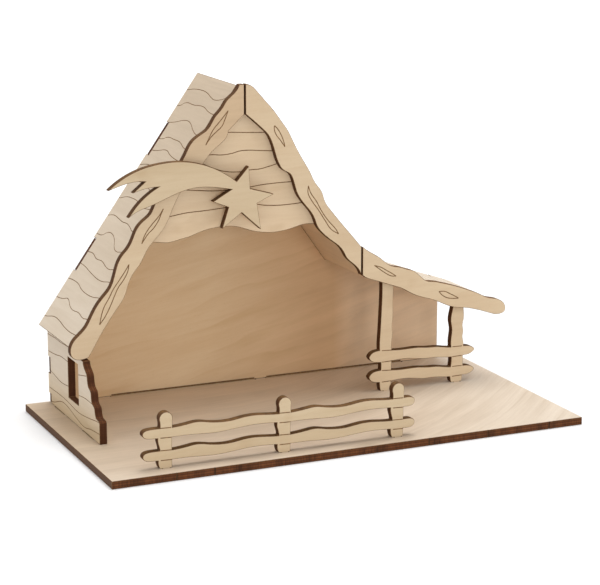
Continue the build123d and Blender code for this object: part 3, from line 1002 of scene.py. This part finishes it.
@dataclass
class BackPanel(CutPiece):
    """The back, with the dark seams at its foot where its long tabs go into the base."""

    seams: tuple[Point, ...] = ((-82.85, 1.35), (8.65, 92.85))
    seam_height: float = 0.5 * MM
    groove: float = 1.0 * MM
    edge_burn: Burn = Burn.SHEET_EDGE

    def engraving(self) -> list[list[Line]]:
        """The seams, just over the base's upper face."""
        low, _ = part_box(self.node)
        height = SHEET + self.seam_height - low.z
        return [[[(start * MM - low.x, height), (end * MM - low.x, height)] for start, end in self.seams]]


@dataclass
class SideWall(CutPiece):
    """The low side wall, engraved as boards on its outside."""

    groove: float = 0.4 * MM
    edge_burn: Burn = Burn.SHEET_EDGE

    def plane(self) -> Plane:
        """The wall's outside, from its back edge at the base's upper face, forward."""
        low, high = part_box(self.node)
        return Plane(Vector((low.x, high.y, SHEET)), -Y_AXIS, Z_AXIS)

    def engraving(self) -> list[list[Line]]:
        """The boards' joints."""
        return [in_metres(WALL_BOARDS)]


@dataclass
class RoofSheet(CutPiece):
    """A roof sheet, engraved with wavy courses on its outside."""

    pitch: float = ROOF_PITCH
    falls_right: bool = False
    overrun: float = 0.02
    groove: float = 0.4 * MM
    edge_burn: Burn = Burn.SHEET_EDGE

    def plane(self) -> Plane:
        """The roof's outside, from the outer corner of its eave."""
        low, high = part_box(self.node)
        rise = SHEET * math.cos(self.pitch)
        if self.falls_right:
            uphill = Vector((-math.cos(self.pitch), 0, math.sin(self.pitch)))
            return Plane(Vector((high.x, low.y, low.z + rise)), Y_AXIS, uphill)
        uphill = Vector((math.cos(self.pitch), 0, math.sin(self.pitch)))
        return Plane(Vector((low.x, high.y, low.z + rise)), -Y_AXIS, uphill)

    def engraving(self) -> list[list[Line]]:
        """The courses that fit below the roof's head, run out past its edges."""
        low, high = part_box(self.node)
        depth = high.y - low.y
        slope = (high.z - low.z - SHEET * math.cos(self.pitch)) / math.sin(self.pitch)
        lines: list[Line] = []
        for course in ROOF_COURSES:
            if max(height for _, height in course) * MM > slope - SHEET:
                continue
            places = [(-self.overrun, course[0][1]), *course, (1 + self.overrun, course[-1][1])]
            if self.falls_right:
                places = [(1 - share, height) for share, height in reversed(places)]
            lines.append([(share * depth, height * MM) for share, height in places])
        return [lines]


@dataclass
class Gable(CutPiece):
    """The gable, engraved as boards."""

    def plane(self) -> Plane:
        """The gable's front, from its peak."""
        low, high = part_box(self.node)
        return Plane(Vector(((low.x + high.x) / 2, low.y, high.z)), X_AXIS, Z_AXIS)

    def engraving(self) -> list[list[Line]]:
        """The boards' joints."""
        return [in_metres([[(x, -drop) for x, drop in line] for line in GABLE_BOARDS])]


@dataclass
class BargeBoard(CutPiece):
    """A wavy barge board with engraved knots."""

    pitch: float = ROOF_PITCH
    falls_right: bool = True
    leaves: list[Line] = field(default_factory=list)

    def plane(self) -> Plane:
        """The board's front, from its upper joint."""
        low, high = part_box(self.node)
        joint = low.x - BARGE_JOINT_GAP / 2 if self.falls_right else high.x + BARGE_JOINT_GAP / 2
        return Plane(Vector((joint, low.y, high.z)), X_AXIS, Z_AXIS)

    @staticmethod
    def sides(leaf: Line) -> tuple[Line, Line]:
        """Parts a knot's outline at its two tips.

        Args:
            leaf: The outline, from one tip.

        Returns:
            Its two sides.
        """
        start = Vector(leaf[0])
        tip = max(range(len(leaf)), key=lambda index: (Vector(leaf[index]) - start).length)
        return leaf[:tip + 1], [*leaf[tip:], leaf[0]]

    def engraving(self) -> list[list[Line]]:
        """The knots, laid down the board's slope. Their two sides meet at the tips, so each is a pass."""
        side = 1 if self.falls_right else -1
        cosine, sine = math.cos(self.pitch), math.sin(self.pitch)
        outlines = in_metres([
            [(side * (down * cosine + out * sine), out * cosine - down * sine) for down, out in leaf]
            for leaf in self.leaves
        ])
        parted = [self.sides(outline) for outline in outlines]
        return [[one for one, _ in parted], [other for _, other in parted]]


@dataclass
class Fence(CutPiece):
    """Posts and rails in one piece, with engraved lines where a rail crosses a post."""

    posts: tuple[float, ...] = ()
    post_width: float = 6.4 * MM
    rail_height: float = 5.6 * MM
    rail_rise: float = 22.2 * MM
    rail_pitch: float = 11.3 * MM
    crossings: tuple[tuple[float, float, float, float], ...] = ()
    margin: float = 0.4 * MM

    def plane(self) -> Plane:
        """The fence's front, from its left end at the foot of the base."""
        low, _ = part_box(self.node)
        return Plane(Vector((low.x, low.y, 0)), X_AXIS, Z_AXIS)

    def engraving(self) -> list[list[Line]]:
        """The rails' edges, carried across the posts and ended just inside them."""
        lines: list[Line] = []
        for post, crossing in zip(self.posts, self.crossings):
            left, right = post + self.margin, post + self.post_width - self.margin
            for rail in range(2):
                middle = self.rail_rise - rail * self.rail_pitch
                for shares in (crossing[:2], crossing[2:]):
                    start, end = (middle + share * self.rail_height for share in shares)
                    lines.append([(left, start), (right, end)])
        return [lines]


@dataclass(frozen=True)
class Softbox:
    """A square soft lamp that looks at the stable."""

    name: str
    place: tuple[float, float, float]
    size: float
    power: float
    aim: tuple[float, float, float] = (0, 0, 0.07)

    def hang(self) -> None:
        """Hangs the lamp."""
        data = bpy.data.lights.new(self.name, "AREA")
        data.size = self.size
        data.energy = self.power
        lamp = bpy.data.objects.new(self.name, data)
        lamp.location = self.place
        way = Vector(self.aim) - Vector(self.place)
        lamp.rotation_euler = way.to_track_quat("-Z", "Y").to_euler()
        bpy.context.scene.collection.objects.link(lamp)


@dataclass
class Studio:
    """The floor, the light and the camera."""

    floor_size: float = 14.0
    floor_drop: float = 0.1 * MM
    floor_tone: float = 0.86
    lift_near: float = 0.14
    lift_far: float = 0.65
    lift_start: float = 0.30
    lift_end: float = 1.50
    sky: float = 0.61
    lens: float = 123.5
    sensor: float = 36.0
    sight: float = 50.0
    camera_place: tuple[float, float, float] = (-0.4269, -0.9568, 0.3172)
    camera_tilt: float = 13.36
    camera_turn: float = -24.02
    lamps: tuple[Softbox, ...] = (
        Softbox("overhead_softbox", (0.22, 0.18, 1.35), 0.9, 11.1),
        Softbox("front_softbox", (-0.29, -1.9, 0.43), 0.4, 5.9),
        Softbox("left_fill", (-1.8, -0.6, 0.8), 1.2, 5.0),
        Softbox("right_fill", (1.6, -0.7, 0.35), 0.8, 5.8),
    )

    def floor(self) -> None:
        """Lays a pale floor that grows white away from the stable and keeps its soft shadow."""
        bpy.ops.object.select_all(action="DESELECT")
        bpy.ops.mesh.primitive_plane_add(size=self.floor_size, location=(0, 0, -self.floor_drop))
        floor = bpy.context.object
        floor.name = "floor"
        recipe = Recipe("pale_floor")
        recipe.shader.inputs["Base Color"].default_value = (*(self.floor_tone,) * 3, 1)
        recipe.polish(roughness=0.9, gloss=0.0)
        recipe.shader.inputs["Emission Color"].default_value = (1, 1, 1, 1)
        distance = recipe.add("ShaderNodeVectorMath", operation="LENGTH")
        recipe.link(recipe.add("ShaderNodeTexCoord").outputs["Object"], distance.inputs[0])
        lift = recipe.spread(distance.outputs["Value"], self.lift_start, self.lift_end, self.lift_near,
                             self.lift_far)
        glow = recipe.combine("MULTIPLY", lift, recipe.seen())
        recipe.link(glow, recipe.shader.inputs["Emission Strength"])
        floor.data.materials.append(recipe.material)

    def world(self) -> None:
        """Hangs an even white sky, seen as plain white."""
        world = bpy.data.worlds.new("white_sky")
        bpy.context.scene.world = world
        world.use_nodes = True
        wiring = Wiring(world.node_tree)
        background = world.node_tree.nodes["Background"]
        background.inputs["Color"].default_value = (1, 1, 1, 1)
        level = wiring.spread(wiring.seen(), 0.0, 1.0, self.sky, 1.0)
        wiring.link(level, background.inputs["Strength"])

    def camera(self) -> None:
        """Sets the camera at the photograph's view."""
        data = bpy.data.cameras.new("camera")
        data.lens = self.lens
        data.sensor_width = self.sensor
        data.clip_end = self.sight
        camera = bpy.data.objects.new("camera", data)
        camera.location = self.camera_place
        camera.rotation_euler = (math.radians(90 - self.camera_tilt), 0, math.radians(self.camera_turn))
        bpy.context.scene.collection.objects.link(camera)
        bpy.context.scene.camera = camera

    def set_up(self) -> None:
        """Lays the floor, hangs the lamps and sets the camera."""
        bpy.context.scene.view_settings.view_transform = "Standard"
        self.floor()
        self.world()
        for lamp in self.lamps:
            lamp.hang()
        self.camera()


def pieces() -> list[CutPiece]:
    """Lists every cut piece, in the order that the stable goes together.

    Returns:
        The pieces, not yet made.
    """
    first_post = 8.8
    post_step = 62.6
    fence_posts = tuple((first_post + post_step * place) * MM for place in range(3))
    leanto_posts = (7.4 * MM, 50.9 * MM)
    return [
        BasePlate("base_plate", "base_board", Lot.BASE, "sheet_ply", (0.0, 0.0)),
        BackPanel("back_panel", "back_board", Lot.PANEL, "sheet_ply", (31.0, 4.0)),
        SideWall("left_wall", "side_wall", Lot.ROOF, "sheet_ply", (7.0, 33.0)),
        RoofSheet("roof_left", "left_roof", Lot.ROOF, "sheet_ply", (12.0, 52.0)),
        RoofSheet("roof_right", "right_roof", Lot.ROOF, "sheet_ply", (43.0, 61.0), falls_right=True),
        RoofSheet("leanto_roof", "leanto_roof_sheet", Lot.ROOF, "sheet_ply", (57.0, 18.0), pitch=LEANTO_PITCH,
                  falls_right=True),
        Gable("gable_panel", "gable_board", Lot.GABLE, "sheet_ply", (68.0, 27.0)),
        BargeBoard("barge_left", "left_barge_board", Lot.TRIM, "trim_ply", (75.0, 41.0), falls_right=False,
                   leaves=LEFT_KNOTS),
        BargeBoard("barge_right", "right_barge_board", Lot.TRIM, "trim_ply", (83.0, 9.0), leaves=RIGHT_KNOTS),
        BargeBoard("barge_leanto", "leanto_barge_board", Lot.TRIM, "trim_ply", (91.0, 22.0),
                   pitch=LEANTO_BARGE_PITCH, leaves=LEANTO_KNOTS),
        CutPiece("comet_star", "comet", Lot.YARD, "trim_ply", (97.0, 47.0)),
        Fence("leanto_frame", "leanto_fence", Lot.TRIM, "trim_ply", (22.0, 71.0), posts=leanto_posts,
              post_width=6.8 * MM, rail_height=6.5 * MM, rail_rise=23.0 * MM,
              crossings=((0.61, 0.55, -0.40, -0.38), (0.22, 0.20, -0.66, -0.63))),
        Fence("front_fence", "yard_fence", Lot.YARD, "trim_ply", (38.0, 83.0), posts=fence_posts,
              crossings=((0.41, 0.38, -0.47, -0.50),) * 3),
    ]


def main() -> None:
    """Builds the studio and every piece."""
    logging.basicConfig(level=logging.INFO, format="%(message)s")
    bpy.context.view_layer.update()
    Studio().set_up()
    for piece in pieces():
        piece.make()


if __name__ == "__main__":
    main()
